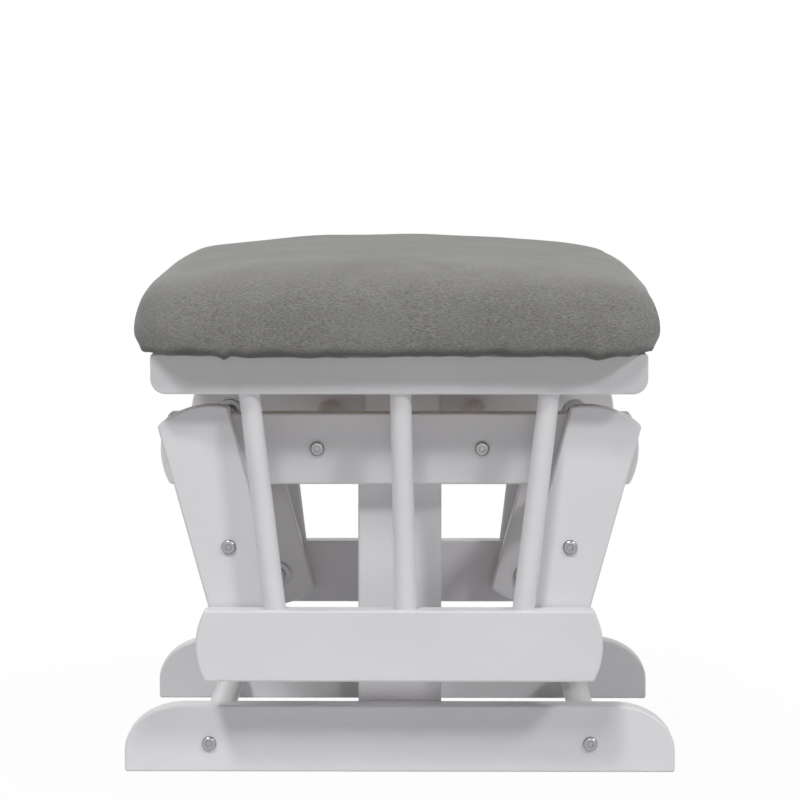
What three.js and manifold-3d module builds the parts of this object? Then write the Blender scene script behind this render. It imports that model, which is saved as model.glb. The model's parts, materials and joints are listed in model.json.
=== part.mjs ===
// Glider ottoman: a wooden base, four swinging arms, a seat on two side panels and its cushion.
// Millimetres. X is the glide direction, Y runs across, Z is up, the origin is on the floor.
import * as THREE from 'three';
import { mergeVertices } from 'three/addons/utils/BufferGeometryUtils.js';
import Module from 'manifold-3d';

const wasm = await Module();
wasm.setup();

// Boards
const boardThickness = 20;
const edgeRound = 1.5;
const baseHalfWidth = 160;
const boardGap = 1.5;
const endRise = 6.5;

// Base
const runnerLength = 400;
const runnerHeight = 49;
const noseLength = 43.5;
const noseHeight = 33;
const stretcherInset = 61.5;
const stretcherHeight = 21;
const postWidth = 60.6;
const postFloorGap = 4;
const postTopDrop = 2;
const beamLength = 344.8;
const beamHeight = 51.6;
const beamDowelSpread = 119;

// Swing
const upperPivotSpread = 282;
const lowerPivotSpread = 206.6;
const openPivotDrift = 8.2;
const armWidth = 52;
const armHeadReach = 32;
const armFootReach = 25;
const armEndRise = 6;

// Seat
const lowerRailLength = 290;
const lowerRailHeight = 51.2;
const lowerRailBottom = 73.7;
const topRailLength = 351.8;
const topRailHeight = 28.9;
const topRailLowerCorner = 11;
const topRailUpperCorner = 3;
const seatHeight = 308;
const seatClearance = 17;
const spindleHeadInset = 69.5;
const spindleFootInset = 56.3;
const middleSpindleHeadShift = 1;
const middleSpindleFootShift = 4.5;
const spindleHeadDiameter = 15;
const spindleFootDiameter = 16;
const tenonDiameter = 11;
const tenonLength = 12;
const endRailSetIn = 10;
const endTenonThickness = 8;
const endTenonHeight = 18;
const cleatWidth = 20;
const seatBoardThickness = 12;

// Cushion
const cushionEndOverhang = 18.6;
const cushionSideOverhang = 35;
const cushionCrownRise = 78;
const cushionWaistRise = 18;
const cushionEdgeInset = 14;

// Dowels and hardware
const dowelDiameter = 20;
const frameBoltDiameter = 6;
const frameBoltHead = 10.5;
const frameBoltHeadHeight = 2.6;
const frameBoltSocket = 4;
const frameBoltGrip = 14;
const pivotBoltDiameter = 8;
const pivotBoltHead = 13;
const pivotBoltHeadHeight = 4.5;
const pivotBoltSocket = 5;
const pivotBoltGrip = 13;
const washerDiameter = 21;
const washerThickness = 1.6;
const bushWall = 1.4;
const bushFlange = 18;
const bushFlangeThickness = 0.9;

// Clearances
const fitGap = 0.3;
const runGap = 0.3;
const pocketClearance = 1;
const overrun = 5;

// Roundness of the facets
const dowelSides = 20;
const boltSides = 14;
const hexSides = 6;
const arcSteps = 6;
const noseSteps = 8;
const bevelSteps = 1;
const headSteps = 2;
const cushionSectors = 48;
const crownSteps = 9;
const edgeSteps = 3;

// Planes and axes worked out from the sizes above. The y values count outward from the middle.
const baseInner = baseHalfWidth - boardThickness;
const postInner = baseInner - boardThickness;
const armInner = baseHalfWidth + boardGap;
const armOuter = armInner + boardThickness;
const sideInner = armOuter + boardGap;
const sideOuter = sideInner + boardThickness;
const sideMiddle = (sideInner + sideOuter) / 2;
const stretcherX = runnerLength / 2 - stretcherInset;
const upperPivotX = upperPivotSpread / 2;
const lowerPivotX = lowerPivotSpread / 2;
const lowerPivotHeight = lowerRailBottom + lowerRailHeight / 2;
const lowerRailTop = lowerRailBottom + lowerRailHeight;
const topRailBottom = seatHeight - topRailHeight;
const beamTop = topRailBottom - seatClearance;
const beamMiddle = beamTop - beamHeight / 2;
const armPitch = Math.hypot(upperPivotX - lowerPivotX, beamMiddle - lowerPivotHeight);
const armLean = Math.atan2(upperPivotX - lowerPivotX, beamMiddle - lowerPivotHeight);
const topRailMiddle = seatHeight - topRailHeight / 2;
const endRailMiddle = topRailLength / 2 - endRailSetIn - boardThickness / 2;
const cleatTop = seatHeight - seatBoardThickness;
const cleatMiddle = sideInner - cleatWidth / 2;
const cushionHalfLength = topRailLength / 2 + cushionEndOverhang;
const cushionHalfWidth = sideOuter + cushionSideOverhang;
const cushionBottom = seatHeight + fitGap;
const cushionWaist = seatHeight + cushionWaistRise;
const cushionCrown = seatHeight + cushionCrownRise;
const frameBoltRadius = frameBoltDiameter / 2;
const pivotBoltRadius = pivotBoltDiameter / 2;
const bushOuter = pivotBoltRadius + runGap + bushWall;
const halfTurn = Math.PI;

// Finishes
const paint = { color: 0xd2d2d0, roughness: 0.45, metalness: 0 };
const pine = { color: 0xd6b98c, roughness: 0.7, metalness: 0 };
const steel = { color: 0x96989b, roughness: 0.35, metalness: 0.9 };
const nylon = { color: 0xe2e1dc, roughness: 0.5, metalness: 0 };
const plush = { color: 0x85857f, roughness: 1, metalness: 0 };

const ottoman = new THREE.Group();

// One named mesh with a finish of its own, in the group that carries it
function addPiece(name, geometry, finish, parent = ottoman) {
  const mesh = new THREE.Mesh(geometry, new THREE.MeshStandardMaterial(finish));
  mesh.name = name;
  parent.add(mesh);
  return mesh;
}

// The same surface with shared vertices and without the flat triangles at a lathe's axis
function weld(geometry) {
  const bare = geometry.clone();
  bare.deleteAttribute('normal');
  bare.deleteAttribute('uv');
  const welded = mergeVertices(bare);
  const corners = welded.index.array;
  const kept = [];
  for (let i = 0; i < corners.length; i += 3) {
    const [a, b, c] = corners.slice(i, i + 3);
    if (a !== b && b !== c && c !== a) kept.push(a, b, c);
  }
  welded.setIndex(kept);
  return welded;
}

function toSolid(geometry) {
  const welded = weld(geometry);
  return new wasm.Manifold(new wasm.Mesh({
    numProp: 3,
    vertProperties: new Float32Array(welded.attributes.position.array),
    triVerts: new Uint32Array(welded.index.array),
  }));
}

function toGeometry(solid) {
  const mesh = solid.getMesh();
  const geometry = new THREE.BufferGeometry();
  geometry.setAttribute('position', new THREE.BufferAttribute(mesh.vertProperties, 3));
  geometry.setIndex(new THREE.BufferAttribute(mesh.triVerts, 1));
  return geometry;
}

function cut(geometry, cutters) {
  return toGeometry(cutters.reduce((solid, cutter) => solid.subtract(toSolid(cutter)), toSolid(geometry)));
}

// A board with softened edges. Its outline is drawn in X and Z, and it fills y = 0 to its thickness.
function board(outline, curveSegments = arcSteps) {
  const geometry = new THREE.ExtrudeGeometry(outline, {
    depth: boardThickness - 2 * edgeRound,
    bevelThickness: edgeRound,
    bevelSize: edgeRound,
    bevelOffset: -edgeRound,
    bevelSegments: bevelSteps,
    curveSegments,
  });
  return geometry.rotateX(Math.PI / 2).translate(0, boardThickness - edgeRound, 0);
}

// A board's outline whose two ends are shallow arcs that stand out by rise
function arcEnded(length, bottom, height, rise) {
  const radius = (height * height / 4 + rise * rise) / (2 * rise);
  const reach = Math.asin(height / 2 / radius);
  const centre = length / 2 - radius;
  const middle = bottom + height / 2;
  const outline = new THREE.Shape();
  outline.absarc(centre, middle, radius, -reach, reach, false);
  outline.absarc(-centre, middle, radius, Math.PI - reach, Math.PI + reach, false);
  outline.closePath();
  return outline;
}

// A round bar along Y between two y planes, for dowels and for drilling
function bar(radius, from, to, sides = boltSides) {
  return new THREE.CylinderGeometry(radius, radius, to - from, sides).translate(0, (from + to) / 2, 0);
}

// A sleeve along Y with a flange round its far end
function flangedSleeve(inner, outer, length, flangeRadius, flangeThickness) {
  return lathe([
    [inner, 0],
    [outer, 0],
    [outer, length],
    [flangeRadius, length],
    [flangeRadius, length + flangeThickness],
    [inner, length + flangeThickness],
    [inner, 0],
  ]);
}

function lathe(profile) {
  return new THREE.LatheGeometry(profile.map(([radius, y]) => new THREE.Vector2(radius, y)), boltSides);
}

// A bolt along Y, cut for a hex key: its low round head below y = 0, with or without a washer under
// the head, and its shank above
function bolt(size) {
  const crownShare = 0.7;
  const flatShare = 0.55;
  const socketDepthShare = 0.6;
  const headRadius = size.head / 2;
  const washerThickness = size.washerThickness ?? 0;
  const headTop = -size.headHeight - washerThickness;
  const socketRadius = size.socket / 2 / Math.cos(Math.PI / hexSides);
  const profile = [[0, headTop]];
  for (let step = 0; step <= headSteps; step += 1) {
    const angle = (Math.PI / 2) * (step / headSteps);
    const swell = flatShare + (1 - flatShare) * Math.sin(angle);
    profile.push([swell * headRadius, headTop + crownShare * size.headHeight * (1 - Math.cos(angle))]);
  }
  profile.push([headRadius, -washerThickness]);
  if (washerThickness > 0) profile.push([size.washer / 2, -washerThickness], [size.washer / 2, 0]);
  profile.push([size.diameter / 2, 0], [size.diameter / 2, size.length], [0, size.length]);
  const socket = bar(socketRadius, headTop - overrun, headTop + size.headHeight * socketDepthShare, hexSides);
  return cut(lathe(profile), [socket]);
}

// Frame bolts hold a dowel's end through a board, with their heads on the board's outer face
const frameBoltLength = boardThickness + frameBoltGrip;
const frameBolt = () => bolt({
  head: frameBoltHead,
  headHeight: frameBoltHeadHeight,
  socket: frameBoltSocket,
  diameter: frameBoltDiameter,
  length: frameBoltLength,
}).rotateZ(halfTurn);
const frameBoltHole = (from, to) => bar(frameBoltRadius + fitGap, from, to);

// A dowel between two boards, bored at both ends for its bolts
function boltedDowel(halfLength) {
  const bore = frameBoltHole(halfLength - frameBoltGrip - fitGap, halfLength + overrun);
  const blank = bar(dowelDiameter / 2, -halfLength, halfLength, dowelSides);
  return cut(blank, [bore, bore.clone().rotateZ(halfTurn)]);
}

// The rear and the front are alike: the front is the rear turned half a turn about the upright axis,
// so a place at x on the world's side lies at flip times x in its group.
const ends = [
  { end: 'rear', turn: 0, flip: 1 },
  { end: 'front', turn: halfTurn, flip: -1 },
];
const sides = [
  { side: 'left', sign: -1 },
  { side: 'right', sign: 1 },
];

function endGroup(turn, parent = ottoman) {
  const group = new THREE.Group();
  group.rotation.z = turn;
  parent.add(group);
  return group;
}

// Base: runners, posts, beams and the dowels between them
function runnerOutline() {
  const halfLength = runnerLength / 2;
  const shoulder = runnerHeight - noseHeight;
  const outline = new THREE.Shape();
  outline.moveTo(-halfLength, 0);
  outline.lineTo(halfLength, 0);
  for (const sign of [1, -1]) {
    const centre = sign * (halfLength - noseLength);
    const [from, to] = sign > 0 ? [0, Math.PI / 2] : [Math.PI / 2, Math.PI];
    outline.absellipse(centre, shoulder, noseLength, noseHeight, from, to, false, 0);
  }
  outline.closePath();
  return outline;
}

function postOutline() {
  const bottom = postFloorGap;
  const top = beamTop - postTopDrop;
  return new THREE.Shape([
    new THREE.Vector2(-postWidth / 2, bottom),
    new THREE.Vector2(postWidth / 2, bottom),
    new THREE.Vector2(postWidth / 2, top),
    new THREE.Vector2(-postWidth / 2, top),
  ]);
}

function runner() {
  const hole = (sign) => frameBoltHole(baseInner - overrun, baseHalfWidth + overrun)
    .translate(sign * stretcherX, 0, stretcherHeight);
  const blank = board(runnerOutline(), noseSteps).translate(0, baseInner, 0);
  return cut(blank, [hole(-1), hole(1)]);
}

function beam() {
  const outline = arcEnded(beamLength, beamTop - beamHeight, beamHeight, endRise);
  const holes = sides.flatMap(({ sign }) => [
    frameBoltHole(baseInner - overrun, baseHalfWidth + overrun)
      .translate(sign * beamDowelSpread / 2, 0, beamMiddle),
    bushHole(baseInner).translate(sign * upperPivotX, 0, beamMiddle),
  ]);
  return cut(board(outline).translate(0, baseInner, 0), holes);
}

function buildBase() {
  for (const { end, turn, flip } of ends) {
    const group = endGroup(turn);
    addPiece(`runner_${end}`, runner(), paint, group);
    addPiece(`post_${end}`, board(postOutline()).translate(0, postInner, 0), paint, group);
    addPiece(`beam_${end}`, beam(), paint, group);
    for (const { side, sign } of sides) {
      const x = flip * sign;
      addPiece(`stretcher_bolt_${side}_${end}`, frameBolt(), steel, group)
        .position.set(x * stretcherX, baseHalfWidth, stretcherHeight);
      addPiece(`beam_bolt_${side}_${end}`, frameBolt(), steel, group)
        .position.set(x * beamDowelSpread / 2, baseHalfWidth, beamMiddle);
      addPiece(`beam_bush_${side}_${end}`, bush(), nylon, group)
        .position.set(x * upperPivotX, baseInner, beamMiddle);
    }
  }
  for (const { side, sign } of sides) {
    addPiece(`stretcher_${side}`, boltedDowel(baseInner), paint)
      .position.set(sign * stretcherX, 0, stretcherHeight);
    addPiece(`beam_dowel_${side}`, boltedDowel(baseInner), paint)
      .position.set(sign * beamDowelSpread / 2, 0, beamMiddle);
  }
}

// Pivots: a bolt with a washer under its head turns in a flanged bush that is pressed into a board
const bush = () => flangedSleeve(
  pivotBoltRadius + runGap,
  bushOuter,
  boardThickness,
  bushFlange / 2,
  bushFlangeThickness,
);
const bushHole = (boardInner) => bar(
  bushOuter + fitGap,
  boardInner - overrun,
  boardInner + boardThickness + overrun,
);
const pivotBoltLength = runGap + boardThickness + boardGap + pivotBoltGrip;
const pivotBolt = () => bolt({
  head: pivotBoltHead,
  headHeight: pivotBoltHeadHeight,
  socket: pivotBoltSocket,
  diameter: pivotBoltDiameter,
  length: pivotBoltLength,
  washer: washerDiameter,
  washerThickness,
});
const pivotBoltHole = (boardInner) => bar(
  pivotBoltRadius + fitGap,
  boardInner - overrun,
  boardInner + pivotBoltGrip + fitGap,
);

// Arms: each pair swings as one piece about the upper pivots. Here z = 0 is the upper pivot.
function arm() {
  const length = armHeadReach + armPitch + armFootReach;
  const outline = arcEnded(length, -armWidth / 2, armWidth, armEndRise);
  const blank = board(outline).rotateY(Math.PI / 2).translate(0, armInner, armHeadReach - length / 2);
  return cut(blank, [
    pivotBoltHole(armInner),
    frameBoltHole(armInner - overrun, armOuter + overrun).translate(0, 0, -armPitch / 2),
    bushHole(armInner).translate(0, 0, -armPitch),
  ]);
}

function buildArms({ side, sign }) {
  const swing = new THREE.Group();
  swing.position.set(sign * upperPivotX, 0, beamMiddle);
  swing.rotation.y = sign * armLean;
  ottoman.add(swing);
  addPiece(`arm_dowel_${side}`, boltedDowel(armInner), paint, swing).position.z = -armPitch / 2;
  for (const { end, turn } of ends) {
    const group = endGroup(turn, swing);
    addPiece(`arm_${side}_${end}`, arm(), paint, group);
    addPiece(`arm_bolt_${side}_${end}`, frameBolt(), steel, group)
      .position.set(0, armOuter, -armPitch / 2);
    addPiece(`upper_pivot_bolt_${side}_${end}`, pivotBolt(), steel, group)
      .position.y = baseInner - runGap;
    addPiece(`arm_bush_${side}_${end}`, bush(), nylon, group).position.set(0, armInner, -armPitch);
    addPiece(`lower_pivot_bolt_${side}_${end}`, pivotBolt(), steel, group)
      .position.set(0, armInner - runGap, -armPitch);
  }
}

// Side panels: the outline of the top rail has two larger and two smaller round corners
function topRailOutline() {
  const half = topRailLength / 2;
  const low = topRailLowerCorner;
  const high = topRailUpperCorner;
  const outline = new THREE.Shape();
  outline.absarc(low - half, topRailBottom + low, low, Math.PI, 1.5 * Math.PI, false);
  outline.absarc(half - low, topRailBottom + low, low, -Math.PI / 2, 0, false);
  outline.absarc(half - high, seatHeight - high, high, 0, Math.PI / 2, false);
  outline.absarc(high - half, seatHeight - high, high, Math.PI / 2, Math.PI, false);
  outline.closePath();
  return outline;
}

// A straight round bar on the leaning line of a spindle, between two heights
function leaningBar(line, fromHeight, toHeight, fromRadius, toRadius) {
  const rise = topRailBottom - lowerRailTop;
  const lean = Math.atan2(line.head - line.foot, rise);
  const length = (toHeight - fromHeight) / Math.cos(lean);
  const middle = (fromHeight + toHeight) / 2;
  const x = line.foot + (line.head - line.foot) * ((middle - lowerRailTop) / rise);
  const barAlongY = new THREE.CylinderGeometry(toRadius, fromRadius, length, dowelSides);
  return barAlongY.rotateX(Math.PI / 2).rotateY(lean).translate(x, sideMiddle, middle);
}

// The body runs from rail to rail and is cut level with them. A thinner tenon enters each rail.
function spindle(line) {
  const tenon = leaningBar(
    line,
    lowerRailTop - tenonLength,
    topRailBottom + tenonLength,
    tenonDiameter / 2,
    tenonDiameter / 2,
  );
  const body = leaningBar(
    line,
    lowerRailTop - overrun,
    topRailBottom + overrun,
    spindleFootDiameter / 2,
    spindleHeadDiameter / 2,
  );
  const between = new THREE.BoxGeometry(
    topRailLength,
    boardThickness,
    topRailBottom - lowerRailTop - 2 * fitGap,
  );
  between.translate(0, sideMiddle, (topRailBottom + lowerRailTop) / 2);
  return toGeometry(toSolid(body).intersect(toSolid(between)).add(toSolid(tenon)));
}

function tenonHole(line) {
  const radius = tenonDiameter / 2 + fitGap;
  const depth = tenonLength + 2 * fitGap;
  return leaningBar(line, lowerRailTop - depth, topRailBottom + depth, radius, radius);
}

// Below, the left bolts fit their holes. The right ones drift outward in the seat as it glides, so
// they have wider pockets that lie off centre. leftSign is the sign of the left side in the panel.
function lowerRail(lines, leftSign) {
  const outline = arcEnded(lowerRailLength, lowerRailBottom, lowerRailHeight, endRise);
  const pocketRadius = pivotBoltRadius + openPivotDrift / 2 + pocketClearance;
  const pocket = bar(pocketRadius, sideInner - overrun, sideInner + pivotBoltGrip + pocketClearance);
  return cut(board(outline).translate(0, sideInner, 0), [
    pivotBoltHole(sideInner).translate(leftSign * lowerPivotX, 0, lowerPivotHeight),
    pocket.translate(-leftSign * (lowerPivotX + openPivotDrift / 2), 0, lowerPivotHeight),
    ...lines.map(tenonHole),
  ]);
}

// The end rails' stub tenons and their mortises in the top rails
function endTenon(x, gap) {
  const length = 2 * (sideInner + tenonLength + gap);
  const box = new THREE.BoxGeometry(endTenonThickness + 2 * gap, length, endTenonHeight + 2 * gap);
  return box.translate(x, 0, topRailMiddle);
}

function topRail(lines) {
  const mortises = sides.map(({ sign }) => endTenon(sign * endRailMiddle, fitGap));
  return cut(board(topRailOutline()).translate(0, sideInner, 0), [...mortises, ...lines.map(tenonHole)]);
}

function buildSidePanel({ end, turn, flip }) {
  const group = endGroup(turn);
  const head = topRailLength / 2 - spindleHeadInset;
  const foot = lowerRailLength / 2 - spindleFootInset;
  const lines = [
    { head: -head, foot: -foot },
    { head: -middleSpindleHeadShift, foot: -middleSpindleFootShift },
    { head, foot },
  ];
  const names = ['left', 'middle', 'right'];
  addPiece(`top_rail_${end}`, topRail(lines), paint, group);
  addPiece(`lower_rail_${end}`, lowerRail(lines, -flip), paint, group);
  for (const [index, line] of lines.entries()) {
    const name = flip > 0 ? names[index] : names.at(-1 - index);
    addPiece(`spindle_${name}_${end}`, spindle(line), paint, group);
  }
}

// Seat frame: end rails between the top rails, a cleat along each top rail and the board on them
function endRail() {
  const blank = new THREE.BoxGeometry(boardThickness, 2 * sideInner, topRailHeight);
  blank.translate(endRailMiddle, 0, topRailMiddle);
  return toGeometry(toSolid(blank).add(toSolid(endTenon(endRailMiddle, 0))));
}

function buildSeatFrame() {
  const reach = endRailMiddle - boardThickness / 2 - fitGap;
  const cleat = new THREE.BoxGeometry(2 * reach, cleatWidth, cleatTop - topRailBottom);
  const seatBoard = new THREE.BoxGeometry(2 * reach, 2 * (sideInner - fitGap), seatBoardThickness);
  addPiece('end_rail_right', endRail(), paint);
  addPiece('end_rail_left', endRail(), paint).rotation.z = halfTurn;
  addPiece('cleat_rear', cleat, pine).position.set(0, cleatMiddle, (topRailBottom + cleatTop) / 2);
  addPiece('cleat_front', cleat, pine).position.set(0, -cleatMiddle, (topRailBottom + cleatTop) / 2);
  addPiece('seat_board', seatBoard, pine).position.z = (cleatTop + seatHeight) / 2;
}

// Cushion: a crowned pad that bulges past the rails, with a rounded lower edge
function cushionProfile() {
  const edgeShare = 1 - cushionEdgeInset / cushionHalfLength;
  const crownPower = 5;
  const shoulderPower = 1.3;
  const profile = [[edgeShare / 2, cushionBottom]];
  for (let step = 0; step <= edgeSteps; step += 1) {
    const angle = (Math.PI / 2) * (step / edgeSteps);
    const share = edgeShare + (1 - edgeShare) * Math.sin(angle);
    profile.push([share, cushionWaist - (cushionWaist - cushionBottom) * Math.cos(angle)]);
  }
  for (let step = 1; step < crownSteps; step += 1) {
    const share = Math.cos((Math.PI / 2) * (step / crownSteps));
    const height = (1 - share ** crownPower) ** (1 / shoulderPower);
    profile.push([share, cushionWaist + (cushionCrown - cushionWaist) * height]);
  }
  return profile;
}

function cushion() {
  const cornerPower = 5;
  const profile = cushionProfile();
  const points = [0, 0, cushionBottom];
  for (const [share, z] of profile) {
    for (let sector = 0; sector < cushionSectors; sector += 1) {
      const angle = (2 * Math.PI * sector) / cushionSectors;
      const across = Math.abs(Math.cos(angle) / cushionHalfLength) ** cornerPower;
      const along = Math.abs(Math.sin(angle) / cushionHalfWidth) ** cornerPower;
      const reach = share * (across + along) ** (-1 / cornerPower);
      points.push(reach * Math.cos(angle), reach * Math.sin(angle), z);
    }
  }
  points.push(0, 0, cushionCrown);
  const corner = (ring, sector) => 1 + ring * cushionSectors + (sector % cushionSectors);
  const top = points.length / 3 - 1;
  const faces = [];
  for (let sector = 0; sector < cushionSectors; sector += 1) {
    faces.push(0, corner(0, sector + 1), corner(0, sector));
    for (let ring = 0; ring < profile.length - 1; ring += 1) {
      faces.push(corner(ring, sector), corner(ring, sector + 1), corner(ring + 1, sector + 1));
      faces.push(corner(ring, sector), corner(ring + 1, sector + 1), corner(ring + 1, sector));
    }
    faces.push(corner(profile.length - 1, sector), corner(profile.length - 1, sector + 1), top);
  }
  const geometry = new THREE.BufferGeometry();
  geometry.setAttribute('position', new THREE.Float32BufferAttribute(points, 3));
  geometry.setIndex(faces);
  return geometry;
}

buildBase();
sides.forEach(buildArms);
ends.forEach(buildSidePanel);
buildSeatFrame();
addPiece('cushion', cushion(), plush);

export default ottoman;
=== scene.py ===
# Glider ottoman: painted wood, steel bolts and a plush cushion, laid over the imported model.
# Metres. X is the glide direction, Y runs across, Z is up.
import json
import math

import bmesh
import bpy
import numpy as np
from mathutils import Matrix, Vector, noise


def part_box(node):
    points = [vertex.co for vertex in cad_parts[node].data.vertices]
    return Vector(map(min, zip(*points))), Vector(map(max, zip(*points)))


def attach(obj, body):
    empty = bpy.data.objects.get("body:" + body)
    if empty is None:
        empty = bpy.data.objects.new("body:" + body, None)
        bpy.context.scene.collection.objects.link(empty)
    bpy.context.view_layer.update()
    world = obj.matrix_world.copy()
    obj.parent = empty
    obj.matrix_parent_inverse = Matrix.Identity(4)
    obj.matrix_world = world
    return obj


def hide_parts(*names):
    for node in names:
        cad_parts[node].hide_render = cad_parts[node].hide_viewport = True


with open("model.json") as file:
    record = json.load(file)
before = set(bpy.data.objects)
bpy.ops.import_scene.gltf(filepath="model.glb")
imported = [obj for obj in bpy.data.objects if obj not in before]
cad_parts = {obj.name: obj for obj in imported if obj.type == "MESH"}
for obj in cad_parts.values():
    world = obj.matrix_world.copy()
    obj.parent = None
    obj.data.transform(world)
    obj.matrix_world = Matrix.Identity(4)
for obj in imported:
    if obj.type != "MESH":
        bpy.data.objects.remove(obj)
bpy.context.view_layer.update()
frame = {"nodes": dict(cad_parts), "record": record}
bodyNodes = frame["record"]["behaviour"]["bodies"]
nodeBody = {node: body for body, nodes in bodyNodes.items() for node in nodes}
print("frame loaded:", len(frame["nodes"]), "nodes")

scene = bpy.context.scene
along = {"x": Vector((1, 0, 0)), "y": Vector((0, 1, 0)), "z": Vector((0, 0, 1))}
ends = {"front": -1, "rear": 1}
sides = {"left": -1, "right": 1}


def middle(node):
    low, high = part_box(node)
    return (low + high) / 2


camera = {
    "place": (0.01827, -2.4, 0.46082),
    "pitchDown": 0.08427,
    "turn": 0.008017,
    "lens": 140.51,
    "sensor": 36,
    "farthest": 50,
}


def addCamera():
    lens = bpy.data.cameras.new("camera")
    lens.sensor_width = camera["sensor"]
    lens.lens = camera["lens"]
    lens.clip_end = camera["farthest"]
    holder = bpy.data.objects.new("camera", lens)
    holder.location = camera["place"]
    holder.rotation_euler = (math.pi / 2 - camera["pitchDown"], 0, camera["turn"])
    scene.collection.objects.link(holder)
    scene.camera = holder


addCamera()
print("camera set")


def setAll(thing, settings):
    for key, value in settings.items():
        setattr(thing, key, value)


# node helpers: a value may be a socket, which is linked, or a plain setting
def addNode(tree, kind, sockets=None, **settings):
    node = tree.nodes.new(kind)
    setAll(node, settings)
    for key, value in (sockets or {}).items():
        plug(tree, node.inputs[key], value)
    return node


def result(tree, kind, sockets=None, **settings):
    return addNode(tree, kind, sockets, **settings).outputs[0]


def plug(tree, socket, value):
    if isinstance(value, bpy.types.NodeSocket):
        tree.links.new(value, socket)
    else:
        socket.default_value = value


def calc(tree, operation, *values):
    return result(tree, "ShaderNodeMath", dict(enumerate(values)), operation=operation)


def vectorOf(tree, **parts):
    return result(tree, "ShaderNodeCombineXYZ", parts)


# materials
def newMaterial(name, colour, **extra):
    material = bpy.data.materials.new(name)
    material.use_nodes = True
    tree = material.node_tree
    shader = tree.nodes["Principled BSDF"]
    shader.inputs["Base Color"].default_value = (*colour, 1)
    for key, value in extra.items():
        shader.inputs[key.replace("_", " ")].default_value = value
    return material, tree, shader


def objectPlace(tree):
    return addNode(tree, "ShaderNodeTexCoord").outputs["Object"]


def attributeValue(tree, name, output="Fac"):
    return addNode(tree, "ShaderNodeAttribute", attribute_name=name).outputs[output]


def noiseValue(tree, vector, scale, detail=3.0, rough=0.5):
    values = {"Vector": vector, "Scale": scale, "Detail": detail, "Roughness": rough}
    return addNode(tree, "ShaderNodeTexNoise", values).outputs["Fac"]


def placed(tree, source, scale, shift=(0, 0, 0)):
    values = {"Vector": source, "Scale": scale, "Location": shift}
    return result(tree, "ShaderNodeMapping", values)


def layer(tree, vector, stretch, scale, detail=3.0, rough=0.5, shift=(0, 0, 0)):
    return noiseValue(tree, placed(tree, vector, stretch, shift), scale, detail, rough)


def remap(tree, value, fromLow, fromHigh, toLow=0.0, toHigh=1.0):
    values = {"Value": value, 1: fromLow, 2: fromHigh, 3: toLow, 4: toHigh}
    return result(tree, "ShaderNodeMapRange", values)


def colourMix(tree, factor, *colours):
    # each of the two colours is a socket or three plain numbers
    values = {0: factor}
    for index, colour in enumerate(colours):
        linked = isinstance(colour, bpy.types.NodeSocket)
        values[6 + index] = colour if linked else (*colour, 1)
    return addNode(tree, "ShaderNodeMix", values, data_type="RGBA").outputs[2]


def shared(tree, first, second, share):
    # the first pattern has its share and the second one the rest
    rest = calc(tree, "MULTIPLY", second, 1 - share)
    return calc(tree, "ADD", calc(tree, "MULTIPLY", first, share), rest)


def roughFrom(tree, shader, pattern, roughness):
    # nearly all of a noise lies between these two values
    spread = remap(tree, pattern, 0.3, 0.7, *roughness)
    plug(tree, shader.inputs["Roughness"], spread)


def bumpFrom(tree, height, distance, strength, under=None):
    values = {"Height": height, "Distance": distance, "Strength": strength}
    if under is not None:
        values["Normal"] = under
    return result(tree, "ShaderNodeBump", values)


# in each finish a noise is scale, detail and roughness, some with a stretch before them and a
# shift after them, and a bump is depth and strength
paint = {
    "colour": (0.84, 0.828, 0.852),
    "worn": (0.8, 0.788, 0.808),
    "wornSpan": (0.35, 0.7),
    "roughness": (0.36, 0.5),
    "fibres": ((6, 90, 90), 6, 4, 0.6),
    "pores": ((25, 420, 420), 2.5, 2),
    "poreShare": 0.35,
    "cloud": (9, 3),
    "roller": (900, 2),
    "grainBump": (0.00006, 0.6),
    "rollerBump": (0.00002, 0.5),
}


def paintedWood():
    material, tree, shader = newMaterial("white_paint", paint["colour"])
    grain = attributeValue(tree, "grainSpace", "Vector")
    fibres = layer(tree, grain, *paint["fibres"])
    pores = layer(tree, grain, *paint["pores"])
    roller = noiseValue(tree, grain, *paint["roller"])
    cloud = noiseValue(tree, grain, *paint["cloud"])
    worn = remap(tree, cloud, *paint["wornSpan"])
    tone = colourMix(tree, worn, paint["colour"], paint["worn"])
    plug(tree, shader.inputs["Base Color"], tone)
    roughFrom(tree, shader, fibres, paint["roughness"])
    height = calc(tree, "ADD", fibres, calc(tree, "MULTIPLY", pores, paint["poreShare"]))
    lower = bumpFrom(tree, height, *paint["grainBump"])
    plug(tree, shader.inputs["Normal"], bumpFrom(tree, roller, *paint["rollerBump"], lower))
    return material


pine = {
    "pale": (0.5, 0.43, 0.35),
    "dark": (0.4, 0.33, 0.26),
    "roughness": (0.6, 0.78),
    "sway": ((3, 12, 12), 3, 3),
    "fibres": ((20, 600, 600), 2, 2),
    "ringStretch": (1.2, 30, 30),
    "ringWave": {"Scale": 3.0, "Distortion": 5.0, "Detail": 3.0},
    "ringShare": 0.6,
    "ringBump": (0.00008, 0.5),
}


def bareWood():
    material, tree, shader = newMaterial("bare_wood", pine["pale"])
    grain = attributeValue(tree, "grainSpace", "Vector")
    sway = layer(tree, grain, *pine["sway"])
    fibres = layer(tree, grain, *pine["fibres"])
    wave = {"Vector": placed(tree, grain, pine["ringStretch"]), **pine["ringWave"]}
    bands = addNode(tree, "ShaderNodeTexWave", wave, wave_type="RINGS", rings_direction="X")
    rings = shared(tree, bands.outputs["Fac"], sway, pine["ringShare"])
    plug(tree, shader.inputs["Base Color"], colourMix(tree, rings, pine["pale"], pine["dark"]))
    roughFrom(tree, shader, fibres, pine["roughness"])
    height = calc(tree, "ADD", rings, fibres)
    plug(tree, shader.inputs["Normal"], bumpFrom(tree, height, *pine["ringBump"]))
    return material


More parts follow.
